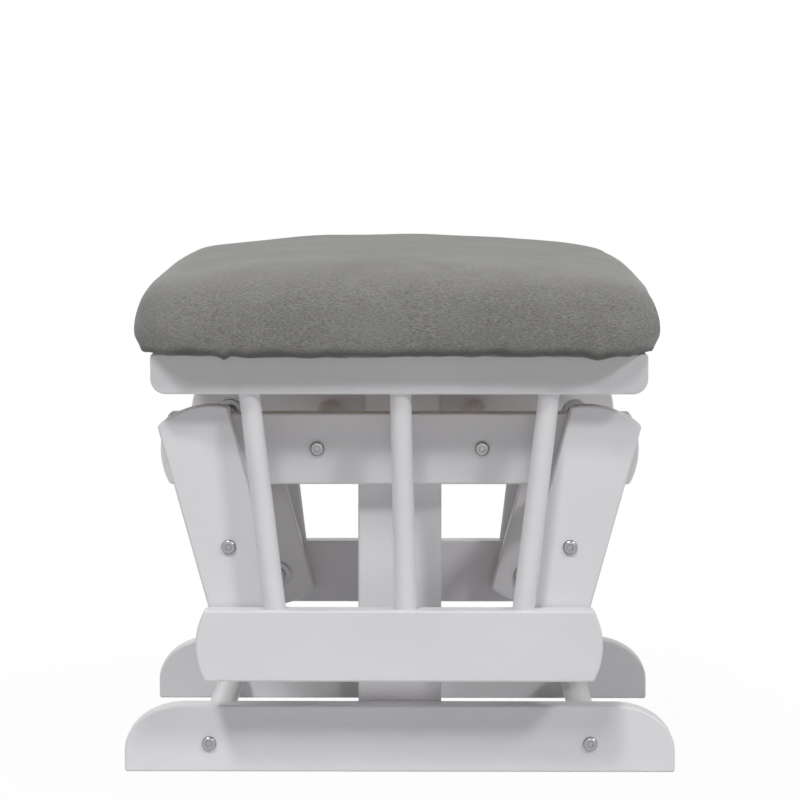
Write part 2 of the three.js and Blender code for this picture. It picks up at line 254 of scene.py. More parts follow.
steel = {
    "colour": (0.352, 0.355, 0.362),
    "roughness": (0.18, 0.26),
    "scratches": ((700, 700, 2600), 1, 3, 0.6),
    "brushBump": (0.00001, 0.4),
}


def boltSteel():
    material, tree, shader = newMaterial("bolt_steel", steel["colour"], Metallic=1.0)
    scratches = layer(tree, objectPlace(tree), *steel["scratches"])
    roughFrom(tree, shader, scratches, steel["roughness"])
    plug(tree, shader.inputs["Normal"], bumpFrom(tree, scratches, *steel["brushBump"]))
    return material


nylon = {
    "colour": (0.74, 0.73, 0.7),
    "roughness": (0.44, 0.58),
    "speckle": (1500, 2),
    "speckleBump": (0.00001, 0.5),
}


def bushNylon():
    material, tree, shader = newMaterial("nylon", nylon["colour"])
    speckle = noiseValue(tree, objectPlace(tree), *nylon["speckle"])
    roughFrom(tree, shader, speckle, nylon["roughness"])
    plug(tree, shader.inputs["Normal"], bumpFrom(tree, speckle, *nylon["speckleBump"]))
    return material


plush = {
    "pile": (0.32, 0.315, 0.299),
    "gap": (0.18, 0.176, 0.166),
    "tip": (0.42, 0.415, 0.4),
    # the colour of the painted shade along the tucked-under hem
    "hem": (0.1, 0.098, 0.091),
    # lighter colours for the top: partly pressed nap, partly painted light where the top faces
    # the lamps
    "pressed": (0.385, 0.378, 0.359),
    "brushedLitTop": (0.305, 0.3, 0.283),
    "roughness": 0.95,
    "shine": 0.15,
    "sheen": 0.35,
    "sheenRoughness": 0.6,
    "bend": (0.004, 0.004, 0.004),
    "drift": (60, 2),
    "cloud": (14, 3),
    "curls": ((420, 420, 2000), 1, 3, 0.6),
    "tips": ((560, 560, 2200), 1, 1, 0.5, (3, 7, 1)),
    "tufts": ((190, 190, 330), 1, 2, 0.5),
    "strokes": ((13, 34, 20), 1, 4, 0.62, (2, 5, 0)),
    "curlShare": 0.8,
    "litMiddle": 0.49,
    "strokeSpan": (0.36, 0.64),
    "tipSpan": (0.58, 0.72, 0, 0.65),
    "pileDepth": 0.0007,
    "tuftDepth": 0.001,
    "tuftShare": 0.28,
    # on the top, where feet press the pile flat and its colour is painted lighter as painted
    # light from above, and on the sides, where it stands up
    "litSpread": (0.17, 0.085),
    "brushedShare": (0.62, 0.0),
    "tipShare": (0.3, 1.0),
    "bumpStrength": (0.33, 0.95),
}


def plushFabric():
    material, tree, shader = newMaterial(
        "plush",
        plush["pile"],
        Roughness=plush["roughness"],
        Specular_IOR_Level=plush["shine"],
        Sheen_Weight=plush["sheen"],
        Sheen_Roughness=plush["sheenRoughness"],
    )
    place = objectPlace(tree)
    # a slow drift bends the pattern, so that the curls stand in no rows
    drift = {0: plush["bend"], "Scale": noiseValue(tree, place, *plush["drift"])}
    push = result(tree, "ShaderNodeVectorMath", drift, operation="SCALE")
    bent = result(tree, "ShaderNodeVectorMath", {0: place, 1: push}, operation="ADD")
    layers = ("curls", "tips", "tufts", "strokes")
    curls, tips, tufts, strokes = (layer(tree, bent, *plush[name]) for name in layers)
    cloud = noiseValue(tree, place, *plush["cloud"])
    # the mark of faces that look up, where the pile lies pressed and the colour is painted
    # lighter as painted light
    upright = calc(tree, "SUBTRACT", 1.0, attributeValue(tree, "pressedPile"))

    def byLie(label):
        onTop, onSides = plush[label]
        return calc(tree, "MULTIPLY_ADD", upright, onSides - onTop, onTop)

    lit = shared(tree, curls, cloud, plush["curlShare"])
    spread = byLie("litSpread")
    low = calc(tree, "SUBTRACT", plush["litMiddle"], spread)
    high = calc(tree, "ADD", plush["litMiddle"], spread)
    standing = colourMix(tree, remap(tree, lit, low, high), plush["gap"], plush["pile"])
    # feet leave long strokes of brushed nap on the top; the top's colours are also painted
    # lighter than the sides, as painted light from above
    nap = remap(tree, strokes, *plush["strokeSpan"])
    brushedLitTop = colourMix(tree, nap, plush["brushedLitTop"], plush["pressed"])
    tone = colourMix(tree, byLie("brushedShare"), standing, brushedLitTop)
    specks = calc(tree, "MULTIPLY", remap(tree, tips, *plush["tipSpan"]), byLie("tipShare"))
    tone = colourMix(tree, specks, tone, plush["tip"])
    # painted shade darkens the band along the tucked-under hem
    tone = colourMix(tree, attributeValue(tree, "hemShade"), tone, plush["hem"])
    plug(tree, shader.inputs["Base Color"], tone)
    strength = byLie("bumpStrength")
    tuftStrength = calc(tree, "MULTIPLY", strength, plush["tuftShare"])
    lower = bumpFrom(tree, tufts, plush["tuftDepth"], tuftStrength)
    surface = bumpFrom(tree, curls, plush["pileDepth"], strength, lower)
    plug(tree, shader.inputs["Normal"], surface)
    return material


finishes = {
    "white_paint": paintedWood(),
    "bare_wood": bareWood(),
    "bolt_steel": boltSteel(),
    "nylon": bushNylon(),
    "plush": plushFabric(),
}
print("materials made:", ", ".join(finishes))


# mesh helpers
def addObject(name, mesh):
    item = bpy.data.objects.new(name, mesh)
    scene.collection.objects.link(item)
    return item


def fromBmesh(name, shape):
    mesh = bpy.data.meshes.new(name)
    shape.to_mesh(mesh)
    shape.free()
    return addObject(name, mesh)


def settle(item):
    # the live modifiers become the piece's own mesh
    graph = bpy.context.evaluated_depsgraph_get()
    mesh = bpy.data.meshes.new_from_object(item.evaluated_get(graph))
    item.modifiers.clear()
    spare = item.data
    item.data = mesh
    bpy.data.meshes.remove(spare)
    mesh.name = item.name


def modify(item, kind, **settings):
    setAll(item.modifiers.new(kind.lower(), kind), settings)
    settle(item)


def weldAndTurn(item, gap=1e-6):
    # one closed skin whose faces point outwards
    shape = bmesh.new()
    shape.from_mesh(item.data)
    bmesh.ops.remove_doubles(shape, verts=shape.verts, dist=gap)
    bmesh.ops.recalc_face_normals(shape, faces=shape.faces)
    if shape.calc_volume(signed=True) < 0:
        bmesh.ops.reverse_faces(shape, faces=shape.faces)
    shape.to_mesh(item.data)
    shape.free()


def smoothShade(item, angle=35):
    # flat faces stay flat
    item.data.shade_smooth()
    item.data.set_sharp_from_angle(angle=math.radians(angle))
    modify(item, "WEIGHTED_NORMAL", keep_sharp=True)


def readPlaces(mesh, what="co"):
    values = np.empty(len(mesh.vertices) * 3)
    mesh.vertices.foreach_get(what, values)
    return values.reshape(-1, 3)


def writePlaces(mesh, places):
    mesh.vertices.foreach_set("co", places.ravel())
    mesh.update()


def markPoints(mesh, label, values, kind="FLOAT", field="value"):
    mesh.attributes.new(label, kind, "POINT").data.foreach_set(field, values)


def dropMarks(mesh, *labels):
    for label in labels:
        if label in mesh.attributes:
            mesh.attributes.remove(mesh.attributes[label])


# how far the wood's pattern is shifted, so that no two pieces start at the same place in it
grainShift = {
    "shares": (1, 0.37, 0.61),
    "board": 0.31,
    "boardKinds": 17,
    "spindles": 0.8,
    "dowels": 2.3,
    "seatFrame": 0.17,
}


def markGrain(item, direction, shift):
    # a copy of the place of each point with X along the wood's fibres
    length = direction.normalized()
    across = along["y"] if abs(length.y) < 0.5 else along["x"]
    turn = Matrix((length, across, length.cross(across)))
    start = Vector([shift * share for share in grainShift["shares"]])
    attribute = item.data.attributes.new("grainSpace", "FLOAT_VECTOR", "POINT")
    for index, point in enumerate(item.data.vertices):
        attribute.data[index].vector = turn @ point.co + start


def finish(item, slot, body, *nodes):
    item.data.materials.clear()
    item.data.materials.append(finishes[slot])
    for face in item.data.polygons:
        face.material_index = 0
    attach(item, body)
    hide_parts(*nodes)


def finishWood(item, direction, shift, slot, body, *nodes):
    smoothShade(item)
    markGrain(item, direction, shift)
    finish(item, slot, body, *nodes)


def loft(shape, rings, closed=False):
    loops = [[shape.verts.new(point) for point in ring] for ring in rings]
    pairs = list(zip(loops, loops[1:])) + ([(loops[-1], loops[0])] if closed else [])
    for first, second in pairs:
        for index in range(len(first)):
            after = (index + 1) % len(first)
            shape.faces.new((first[index], first[after], second[after], second[index]))
    if not closed:
        shape.faces.new(loops[0])
        shape.faces.new(list(reversed(loops[-1])))


def box(shape, low, high):
    made = bmesh.ops.create_cube(shape, size=1)["verts"]
    size = Vector(high) - Vector(low)
    centre = (Vector(high) + Vector(low)) / 2
    matrix = Matrix.Translation(centre) @ Matrix.Diagonal((*size, 1))
    bmesh.ops.transform(shape, matrix=matrix, verts=made)


def rod(shape, start, end, radius, segments=32):
    start, end = Vector(start), Vector(end)
    span = end - start
    size = {"radius1": radius, "radius2": radius, "depth": span.length}
    made = bmesh.ops.create_cone(shape, cap_ends=True, segments=segments, **size)["verts"]
    turn = span.to_track_quat("Z", "Y").to_matrix().to_4x4()
    bmesh.ops.transform(shape, matrix=Matrix.Translation((start + end) / 2) @ turn, verts=made)


def drill(item, cutters):
    if not cutters:
        return
    shape = bmesh.new()
    for cutter in cutters:
        cutter(shape)
    tool = fromBmesh(item.name + "Holes", shape)
    modify(item, "BOOLEAN", operation="DIFFERENCE", solver="EXACT", object=tool)
    bpy.data.objects.remove(tool)


def softenEdges(item, width, segments=4, angle=35):
    edges = {"limit_method": "ANGLE", "angle_limit": math.radians(angle)}
    modify(item, "BEVEL", width=width, segments=segments, use_clamp_overlap=False, **edges)


# Geometry Nodes: one mesh goes in and one comes out, and the inputs are named
def newTree(name, *inputs):
    tree = bpy.data.node_groups.new(name, "GeometryNodeTree")
    for label, kind in (("Geometry", "Geometry"), *inputs, ("Finish", "Material")):
        tree.interface.new_socket(label, in_out="INPUT", socket_type="NodeSocket" + kind)
    tree.interface.new_socket("Geometry", in_out="OUTPUT", socket_type="NodeSocketGeometry")
    return tree, tree.nodes.new("NodeGroupInput").outputs


def endTree(tree, geometry, material):
    # real faces in one material
    plain = result(tree, "GeometryNodeRealizeInstances", {"Geometry": geometry})
    dressed = result(tree, "GeometryNodeSetMaterial", {"Geometry": plain, "Material": material})
    tree.links.new(dressed, tree.nodes.new("NodeGroupOutput").inputs[0])
    return tree


def grow(item, tree, values):
    # inputs are set by their identifiers before the object is first evaluated
    modifier = item.modifiers.new(tree.name, "NODES")
    modifier.node_group = tree
    for socket in tree.interface.items_tree:
        if socket.in_out == "INPUT" and socket.name in values:
            modifier[socket.identifier] = values[socket.name]
    settle(item)


# boards
boards = {
    "thickness": 0.02,
    "edgeRound": 0.0018,
    "endRise": 0.0065,
    "armEndRise": 0.006,
    "armWidth": 0.052,
    "armHeadReach": 0.032,
    "armFootReach": 0.025,
    "arcSteps": 28,
    "noseLength": 0.0435,
    "noseHeight": 0.033,
    "railLowerCorner": 0.011,
    "railUpperCorner": 0.003,
}
fits = {
    "boltHole": 0.0033,
    "pivotHole": 0.0043,
    "bushHole": 0.006,
    "pivotGrip": 0.0133,
    "pocketRadius": 0.0091,
    "pocketDepth": 0.014,
    "pocketDrift": 0.0041,
    "tenonHole": 0.0058,
    "boltGrip": 0.0143,
    "through": 0.004,
    # half the width and half the height of the mortise for an end rail, and its play in depth
    "stubHalf": (0.0043, 0.0093),
    "stubPlay": 0.0003,
}


def archedBoardTree():
    # a board whose two ends are shallow arcs, drawn round the origin, then leaned and placed
    tree, given = newTree(
        "arched board",
        ("Length", "Float"),
        ("Height", "Float"),
        ("End rise", "Float"),
        ("Thickness", "Float"),
        ("Arc steps", "Int"),
        ("Lean", "Float"),
        ("Place", "Vector"),
    )
    rise, steps = given["End rise"], given["Arc steps"]
    halfHeight = calc(tree, "DIVIDE", given["Height"], 2.0)
    chord = calc(tree, "MULTIPLY", halfHeight, halfHeight)
    squares = calc(tree, "MULTIPLY_ADD", rise, rise, chord)
    radius = calc(tree, "DIVIDE", squares, calc(tree, "MULTIPLY", rise, 2.0))
    reach = calc(tree, "ARCSINE", calc(tree, "DIVIDE", halfHeight, radius))
    centre = calc(tree, "SUBTRACT", calc(tree, "DIVIDE", given["Length"], 2.0), radius)
    perEnd = calc(tree, "ADD", steps, 1.0)
    circle = {"Vertices": calc(tree, "MULTIPLY", perEnd, 2.0), "Radius": 1.0}
    rim = result(tree, "GeometryNodeMeshCircle", circle, fill_type="NGON")
    index = result(tree, "GeometryNodeInputIndex")
    secondEnd = calc(tree, "GREATER_THAN", index, calc(tree, "SUBTRACT", perEnd, 0.5))
    sign = calc(tree, "MULTIPLY_ADD", secondEnd, -2.0, 1.0)
    step = calc(tree, "SUBTRACT", index, calc(tree, "MULTIPLY", secondEnd, perEnd))
    share = calc(tree, "MULTIPLY_ADD", calc(tree, "DIVIDE", step, steps), 2.0, -1.0)
    angle = calc(tree, "MULTIPLY", share, reach)
    outward = calc(tree, "MULTIPLY_ADD", calc(tree, "COSINE", angle), radius, centre)
    outward = calc(tree, "MULTIPLY", outward, sign)
    upward = calc(tree, "MULTIPLY", calc(tree, "SINE", angle), radius)
    spot = vectorOf(tree, X=outward, Z=calc(tree, "MULTIPLY", upward, sign))
    outline = result(tree, "GeometryNodeSetPosition", {"Geometry": rim, "Position": spot})
    push = {"Mesh": outline, "Offset": vectorOf(tree, Y=given["Thickness"]), "Individual": False}
    raised = result(tree, "GeometryNodeExtrudeMesh", push, mode="FACES")
    back = result(tree, "GeometryNodeFlipFaces", {"Mesh": outline})
    both = addNode(tree, "GeometryNodeJoinGeometry")
    for part in (raised, back):
        tree.links.new(part, both.inputs[0])
    merge = {"Geometry": both.outputs[0], "Distance": 1e-6}
    closed = result(tree, "GeometryNodeMergeByDistance", merge)
    move = {"Translation": given["Place"], "Rotation": vectorOf(tree, Y=given["Lean"])}
    laid = result(tree, "GeometryNodeTransform", {"Geometry": closed, **move})
    return endTree(tree, laid, given["Finish"])


archedBoard = archedBoardTree()


def makeArchedBoard(name, length, height, rise, lean, place):
    item = addObject(name, bpy.data.meshes.new(name))
    grow(item, archedBoard, {
        "Length": length,
        "Height": height,
        "End rise": rise,
        "Thickness": boards["thickness"],
        "Arc steps": boards["arcSteps"],
        "Lean": lean,
        "Place": place,
        "Finish": finishes["white_paint"],
    })
    weldAndTurn(item)
    return item


def makePlate(name, outline, lowY, highY):
    shape = bmesh.new()
    first, second = ([shape.verts.new((x, y, z)) for x, z in outline] for y in (lowY, highY))
    shape.faces.new(first)
    shape.faces.new(list(reversed(second)))
    for index in range(len(first)):
        after = (index + 1) % len(first)
        shape.faces.new((first[after], first[index], second[index], second[after]))
    item = fromBmesh(name, shape)
    weldAndTurn(item)
    return item


def arc(centreX, centreZ, radiusX, radiusZ, fromAngle, toAngle, steps):
    points = []
    for step in range(steps + 1):
        angle = math.radians(fromAngle + (toAngle - fromAngle) * step / steps)
        points.append((centreX + radiusX * math.cos(angle), centreZ + radiusZ * math.sin(angle)))
    return points


def acrossRod(x, z, fromY, toY, radius):
    return lambda shape: rod(shape, (x, fromY, z), (x, toY, z), radius)


def finishBoard(item, cutters, direction, node):
    softenEdges(item, boards["edgeRound"])
    drill(item, cutters)
    shift = grainShift["board"] * (1 + sum(map(ord, node)) % grainShift["boardKinds"])
    finishWood(item, direction, shift, "white_paint", nodeBody[node], node)


def throughBoard(nodes, low, high, radius):
    near, far = low.y - fits["through"], high.y + fits["through"]
    spots = [middle(node) for node in nodes]
    return [acrossRod(spot.x, spot.z, near, far, radius) for spot in spots]


def intoBoard(x, z, end, low, high, depth, radius):
    # a blind hole from the board's inner face
    outward = ends[end]
    inner = low.y if outward > 0 else high.y
    return acrossRod(x, z, inner - outward * fits["through"], inner + outward * depth, radius)


def levelBoard(name, low, high):
    size = high - low
    spot = (0, low.y, (low.z + high.z) / 2)
    return makeArchedBoard(name, size.x, size.z, boards["endRise"], 0.0, spot)


# base: runners, posts and beams
def buildRunner(end):
    node = f"runner_{end}"
    low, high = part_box(node)
    nose = (boards["noseLength"], boards["noseHeight"])
    shoulder, noseX = high.z - nose[1], high.x - nose[0]
    outline = [(low.x, low.z), (high.x, low.z)]
    outline += arc(noseX, shoulder, *nose, 0, 90, boards["arcSteps"])
    outline += arc(-noseX, shoulder, *nose, 90, 180, boards["arcSteps"])
    item = makePlate(f"runner.{end}", outline, low.y, high.y)
    bolts = [f"stretcher_bolt_{side}_{end}" for side in sides]
    finishBoard(item, throughBoard(bolts, low, high, fits["boltHole"]), along["x"], node)


def buildPost(end):
    node = f"post_{end}"
    low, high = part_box(node)
    outline = [(low.x, low.z), (high.x, low.z), (high.x, high.z), (low.x, high.z)]
    item = makePlate(f"post.{end}", outline, low.y, high.y)
    finishBoard(item, [], along["z"], node)


def buildBeam(end):
    node = f"beam_{end}"
    low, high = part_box(node)
    item = levelBoard(f"beam.{end}", low, high)
    cutters = []
    for kind, hole in (("bolt", "boltHole"), ("bush", "bushHole")):
        nodes = [f"beam_{kind}_{side}_{end}" for side in sides]
        cutters += throughBoard(nodes, low, high, fits[hole])
    finishBoard(item, cutters, along["x"], node)


for end in ends:
    buildRunner(end)
    buildPost(end)
    buildBeam(end)
print("base boards made")


# arms: they lean between the upper and the lower pivot
def buildArm(side, end):
    node = f"arm_{side}_{end}"
    low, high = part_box(node)
    upper = middle(f"upper_pivot_bolt_{side}_{end}")
    lower = middle(f"arm_bush_{side}_{end}")
    reach = Vector((upper.x - lower.x, 0, upper.z - lower.z))
    headReach, footReach = boards["armHeadReach"], boards["armFootReach"]
    length = headReach + reach.length + footReach
    centre = Vector((upper.x, low.y, upper.z)) + reach.normalized() * (headReach - length / 2)
    # the tree draws a lying board, so a quarter turn stands it up
    lean = math.atan2(reach.x, reach.z) - math.pi / 2
    width, rise = boards["armWidth"], boards["armEndRise"]
    item = makeArchedBoard(f"arm.{side}.{end}", length, width, rise, lean, centre)
    grip = (fits["pivotGrip"], fits["pivotHole"])
    cutters = [intoBoard(upper.x, upper.z, end, low, high, *grip)]
    cutters += throughBoard([f"arm_bolt_{side}_{end}"], low, high, fits["boltHole"])
    cutters += throughBoard([f"arm_bush_{side}_{end}"], low, high, fits["bushHole"])
    finishBoard(item, cutters, reach, node)


for side in sides:
    for end in ends:
        buildArm(side, end)
print("arms made")


# side panels
spindles = {
    "headSpread": 0.2128,
    "footSpread": 0.1774,
    "middleHead": 0.001,
    "middleFoot": 0.0045,
    "headRadius": 0.0075,
    "footRadius": 0.008,
    "tenonRadius": 0.0055,
    "tenonLength": 0.012,
    "tenonPlay": 0.0006,
    "sides": 40,
    "shoulderStep": 0.00002,
    "tenonEase": 0.0006,
}


def spindleLines(end):
    # head and foot in the world, left to right; the front panel is the rear one turned half round
    turn = ends[end]
    return {
        "left": (-spindles["headSpread"] / 2, -spindles["footSpread"] / 2),
        "middle": (-turn * spindles["middleHead"], -turn * spindles["middleFoot"]),
        "right": (spindles["headSpread"] / 2, spindles["footSpread"] / 2),
    }


def railPlanes(end):
    # the faces between which the spindles stand
    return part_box(f"lower_rail_{end}")[1].z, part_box(f"top_rail_{end}")[0].z


def tenonCutters(end):
    footZ, headZ = railPlanes(end)
    panelY = middle(f"lower_rail_{end}").y
    play = spindles["tenonLength"] + spindles["tenonPlay"]
    cutters = []
    for head, foot in spindleLines(end).values():
        slope = (head - foot) / (headZ - footZ)
        start = (foot - slope * play, panelY, footZ - play)
        stop = (head + slope * play, panelY, headZ + play)
        cutters.append(lambda shape, a=start, b=stop: rod(shape, a, b, fits["tenonHole"]))
    return cutters


def buildLowerRail(end):
    node = f"lower_rail_{end}"
    low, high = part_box(node)
    item = levelBoard(f"lowerRail.{end}", low, high)
    left, right = (middle(f"arm_bush_{side}_{end}") for side in sides)
    grip = (fits["pivotGrip"], fits["pivotHole"])
    pocket = (fits["pocketDepth"], fits["pocketRadius"])
    cutters = [
        intoBoard(left.x, left.z, end, low, high, *grip),
        intoBoard(right.x + fits["pocketDrift"], right.z, end, low, high, *pocket),
    ]
    finishBoard(item, cutters + tenonCutters(end), along["x"], node)


def mortiseCutter(side):
    # the end rail's stub tenon fills it
    low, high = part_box(f"end_rail_{side}")
    x, y, z = (low.x + high.x) / 2, high.y + fits["stubPlay"], (low.z + high.z) / 2
    halfX, halfZ = fits["stubHalf"]
    return lambda shape: box(shape, (x - halfX, -y, z - halfZ), (x + halfX, y, z + halfZ))


def buildTopRail(end):
    node = f"top_rail_{end}"
    low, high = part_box(node)
    large, small = boards["railLowerCorner"], boards["railUpperCorner"]
    outline = []
    for x, z, radius, start in (
        (low.x + large, low.z + large, large, 180),
        (high.x - large, low.z + large, large, 270),
        (high.x - small, high.z - small, small, 0),
        (low.x + small, high.z - small, small, 90),
    ):
        outline += arc(x, z, radius, radius, start, start + 90, boards["arcSteps"] // 2)
    item = makePlate(f"topRail.{end}", outline, low.y, high.y)
    cutters = tenonCutters(end) + [mortiseCutter(side) for side in sides]
    finishBoard(item, cutters, along["x"], node)


for end in ends:
    buildLowerRail(end)
    buildTopRail(end)
print("rails made")


# turned bars: centre lines whose points carry a radius and a sideways shift
def turnedBarTree():
    tree, given = newTree("turned bars", ("Sides", "Int"))
    kind = "GeometryNodeInputNamedAttribute"
    radius = result(tree, kind, {"Name": "barRadius"}, data_type="FLOAT")
    shift = result(tree, kind, {"Name": "barShift"}, data_type="FLOAT_VECTOR")
    path = result(tree, "GeometryNodeMeshToCurve", {"Mesh": given["Geometry"]})
    circle = {"Resolution": given["Sides"], "Radius": 1.0}
    ring = result(tree, "GeometryNodeCurvePrimitiveCircle", circle)
    sweep = {"Curve": path, "Profile Curve": ring, "Scale": radius, "Fill Caps": True}
    skin = result(tree, "GeometryNodeCurveToMesh", sweep)
    leant = result(tree, "GeometryNodeSetPosition", {"Geometry": skin, "Offset": shift})
    return endTree(tree, leant, given["Finish"])


turnedBars = turnedBarTree()


def makeBars(name, bars):
    # each bar is a list of (point, radius, shift)
    points, edges, radii, shifts = [], [], [], []
    for bar in bars:
        for index, (point, radius, shift) in enumerate(bar):
            if index:
                edges.append((len(points) - 1, len(points)))
            points.append(point)
            radii.append(radius)
            shifts.extend(shift)
    mesh = bpy.data.meshes.new(name)
    mesh.from_pydata(points, edges, [])
    markPoints(mesh, "barRadius", radii)
    markPoints(mesh, "barShift", shifts, "FLOAT_VECTOR", "vector")
    item = addObject(name, mesh)
    grow(item, turnedBars, {"Sides": spindles["sides"], "Finish": finishes["white_paint"]})
    dropMarks(item.data, "barRadius", "barShift")
    weldAndTurn(item)
    return item


def spindleBar(x, y, footZ, headZ, lean):
    tenon, play = spindles["tenonRadius"], spindles["tenonLength"]
    foot, head = spindles["footRadius"], spindles["headRadius"]
    step, ease = spindles["shoulderStep"], spindles["tenonEase"]
    stations = [
        (footZ - play, tenon - ease),
        (footZ - play + ease, tenon),
        (footZ - step, tenon),
        (footZ, foot),
        (headZ, head),
        (headZ + step, tenon),
        (headZ + play - ease, tenon),
        (headZ + play, tenon - ease),
    ]
    slope = lean / (headZ - footZ)
    return [((x, y, z), radius, (slope * (z - footZ), 0, 0)) for z, radius in stations]


def buildSpindles():
    bars, nodes = [], []
    for end in ends:
        footZ, headZ = railPlanes(end)
        y = middle(f"lower_rail_{end}").y
        for name, (head, foot) in spindleLines(end).items():
            bars.append(spindleBar(foot, y, footZ, headZ, head - foot))
            nodes.append(f"spindle_{name}_{end}")
    item = makeBars("spindles", bars)
    finishWood(item, along["z"], grainShift["spindles"], "white_paint", "seat", *nodes)


buildSpindles()

dowels = {"ease": 0.0008}


def dowelBar(node):
    low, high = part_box(node)
    spot = middle(node)
    radius = (high.z - low.z) / 2
    ease = dowels["ease"]
    stations = [
        (low.y, radius - ease),
        (low.y + ease, radius),
        (high.y - ease, radius),
        (high.y, radius - ease),
    ]
    return [((spot.x, y, spot.z), wide, (0, 0, 0)) for y, wide in stations]


def buildDowels(name, body, nodes):
    item = makeBars(name, [dowelBar(node) for node in nodes])
    reach, over = fits["boltGrip"], fits["through"]
    cutters = []
    for node in nodes:
        low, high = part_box(node)
        spot = middle(node)
        for near, far in ((low.y - over, low.y + reach), (high.y - reach, high.y + over)):
            cutters.append(acrossRod(spot.x, spot.z, near, far, fits["boltHole"]))
    drill(item, cutters)
    finishWood(item, along["y"], grainShift["dowels"], "white_paint", body, *nodes)


baseDowels = [f"{kind}_{side}" for kind in ("stretcher", "beam_dowel") for side in sides]
buildDowels("dowels.base", "base", baseDowels)
for side in sides:
    buildDowels(f"dowel.{side}Arms", f"{side}_arms", [f"arm_dowel_{side}"])
print("spindles and dowels made")


# seat frame under the cushion
seatFrame = {
    "railRound": 0.0012,
    "boardRound": 0.0008,
    "roundSteps": 3,
    "roundAngle": 50,
    "flatAngle": 0.02,
}


def finishedCopy(name, node, slot, rounding, direction):
    mesh = frame["nodes"][node].data.copy()
    mesh.materials.clear()
    item = addObject(name, mesh)
    weldAndTurn(item)
    shape = bmesh.new()
    shape.from_mesh(item.data)
    flat = {"angle_limit": seatFrame["flatAngle"], "verts": shape.verts, "edges": shape.edges}
    bmesh.ops.dissolve_limit(shape, **flat)
    shape.to_mesh(item.data)
    shape.free()
    softenEdges(item, rounding, seatFrame["roundSteps"], seatFrame["roundAngle"])
    finishWood(item, direction, grainShift["seatFrame"] * len(node), slot, nodeBody[node], node)


railRound, boardRound = seatFrame["railRound"], seatFrame["boardRound"]
for side in sides:
    finishedCopy(f"endRail.{side}", f"end_rail_{side}", "white_paint", railRound, along["y"])
for end in ends:
    finishedCopy(f"cleat.{end}", f"cleat_{end}", "bare_wood", boardRound, along["x"])
finishedCopy("seatBoard", "seat_board", "bare_wood", boardRound, along["y"])
print("seat frame made")


# hardware: turned profiles with a key socket, set on points that carry a turn
frameBolt = {
    "head": 0.00525,
    "headHeight": 0.0026,
    "socket": 0.002,
    "socketDepth": 0.0017,
    "shank": 0.003,
    "length": 0.034,
    "flat": 0.6,
}
pivotBolt = {
    "head": 0.0065,
    "headHeight": 0.0045,
    "socket": 0.0025,
    "socketDepth": 0.0028,
    "shank": 0.004,
    "length": 0.0348,
    "flat": 0.55,
    "washer": 0.0105,
    "washerThickness": 0.0016,
}
bushing = {
    "bore": 0.0043,
    "outer": 0.0057,
    "length": 0.02,
    "flange": 0.009,
    "flangeThickness": 0.0009,
}
hardware = {
    "segments": 36,
    "rim": 0.0003,
    "socketTaper": 0.98,
    "domeSteps": 6,
    "domeShare": 0.75,
    "washerPlay": 0.0002,
    "seed": 7,
    "sharpAngle": 30,
}


def ringPoints(radius, y, hexagon=False):
    count = hardware["segments"]
    points = []
    for index in range(count):
        angle = 2 * math.pi * index / count
        reach = radius
        if hexagon:
            reach = radius / math.cos((angle % (math.pi / 3)) - math.pi / 6)
        points.append((reach * math.cos(angle), y, reach * math.sin(angle)))
    return points


def turnedShape(name, *profiles):
    # each profile is its (radius, y) points, and whether the last one joins the first
    shape = bmesh.new()
    for points, closed in profiles:
        loft(shape, [ringPoints(*point) for point in points], closed)
    bmesh.ops.recalc_face_normals(shape, faces=shape.faces)
    return fromBmesh(name, shape)


def boltShape(name, size):
    washer = size.get("washerThickness", 0.0)
    top = -size["headHeight"] - washer
    socket, rim = size["socket"], hardware["rim"]
    head, shank, length = size["head"], size["shank"], size["length"]
    points = [
        (socket * hardware["socketTaper"], top + size["socketDepth"], True),
        (socket, top + rim, True),
        (socket + rim, top, True),
    ]
    flat = size["flat"] * head
    steps = hardware["domeSteps"]
    for step in range(steps + 1):
        angle = math.pi / 2 * step / steps
        drop = hardware["domeShare"] * size["headHeight"] * (1 - math.cos(angle))
        points.append((flat + (head - flat) * math.sin(angle), top + drop))
    points += [(head, -washer - rim), (head - rim, -washer), (shank, -washer)]
    points += [(shank, length - 2 * rim), (shank - 2 * rim, length)]
    profiles = [(points, False)]
    if washer:
        wide, bore = size["washer"], shank + hardware["washerPlay"]
        points = [(bore, -washer), (wide - rim, -washer), (wide, -washer + rim)]
        points += [(wide, -rim), (wide - rim, 0), (bore, 0)]
        profiles.append((points, True))
    return turnedShape(name, *profiles)


def bushShape(name, size):
    rim, top = hardware["rim"], size["length"] + size["flangeThickness"]
    bore, outer, flange, length = size["bore"], size["outer"], size["flange"], size["length"]
    points = [(bore, 0), (outer - rim, 0), (outer, rim), (outer, length), (flange, length)]
    points += [(flange, top - rim), (flange - rim, top), (bore, top)]
    return turnedShape(name, (points, True))


def hardwareTree():
    # each point carries its turn about the upright axis, and each part is spun at random
    tree, given = newTree("hardware on points", ("Part", "Object"), ("Seed", "Int"))
    kind = "GeometryNodeInputNamedAttribute"
    facing = result(tree, kind, {"Name": "facing"}, data_type="FLOAT")
    limits = {2: 0.0, 3: math.pi / 3, "Seed": given["Seed"]}
    spin = addNode(tree, "FunctionNodeRandomValue", limits, data_type="FLOAT").outputs[1]
    part = addNode(tree, "GeometryNodeObjectInfo", {"Object": given["Part"]})
    copies = {
        "Points": given["Geometry"],
        "Instance": part.outputs["Geometry"],
        "Rotation": vectorOf(tree, Y=spin, Z=facing),
    }
    placedParts = result(tree, "GeometryNodeInstanceOnPoints", copies)
    return endTree(tree, placedParts, given["Finish"])


hardwareOnPoints = hardwareTree()


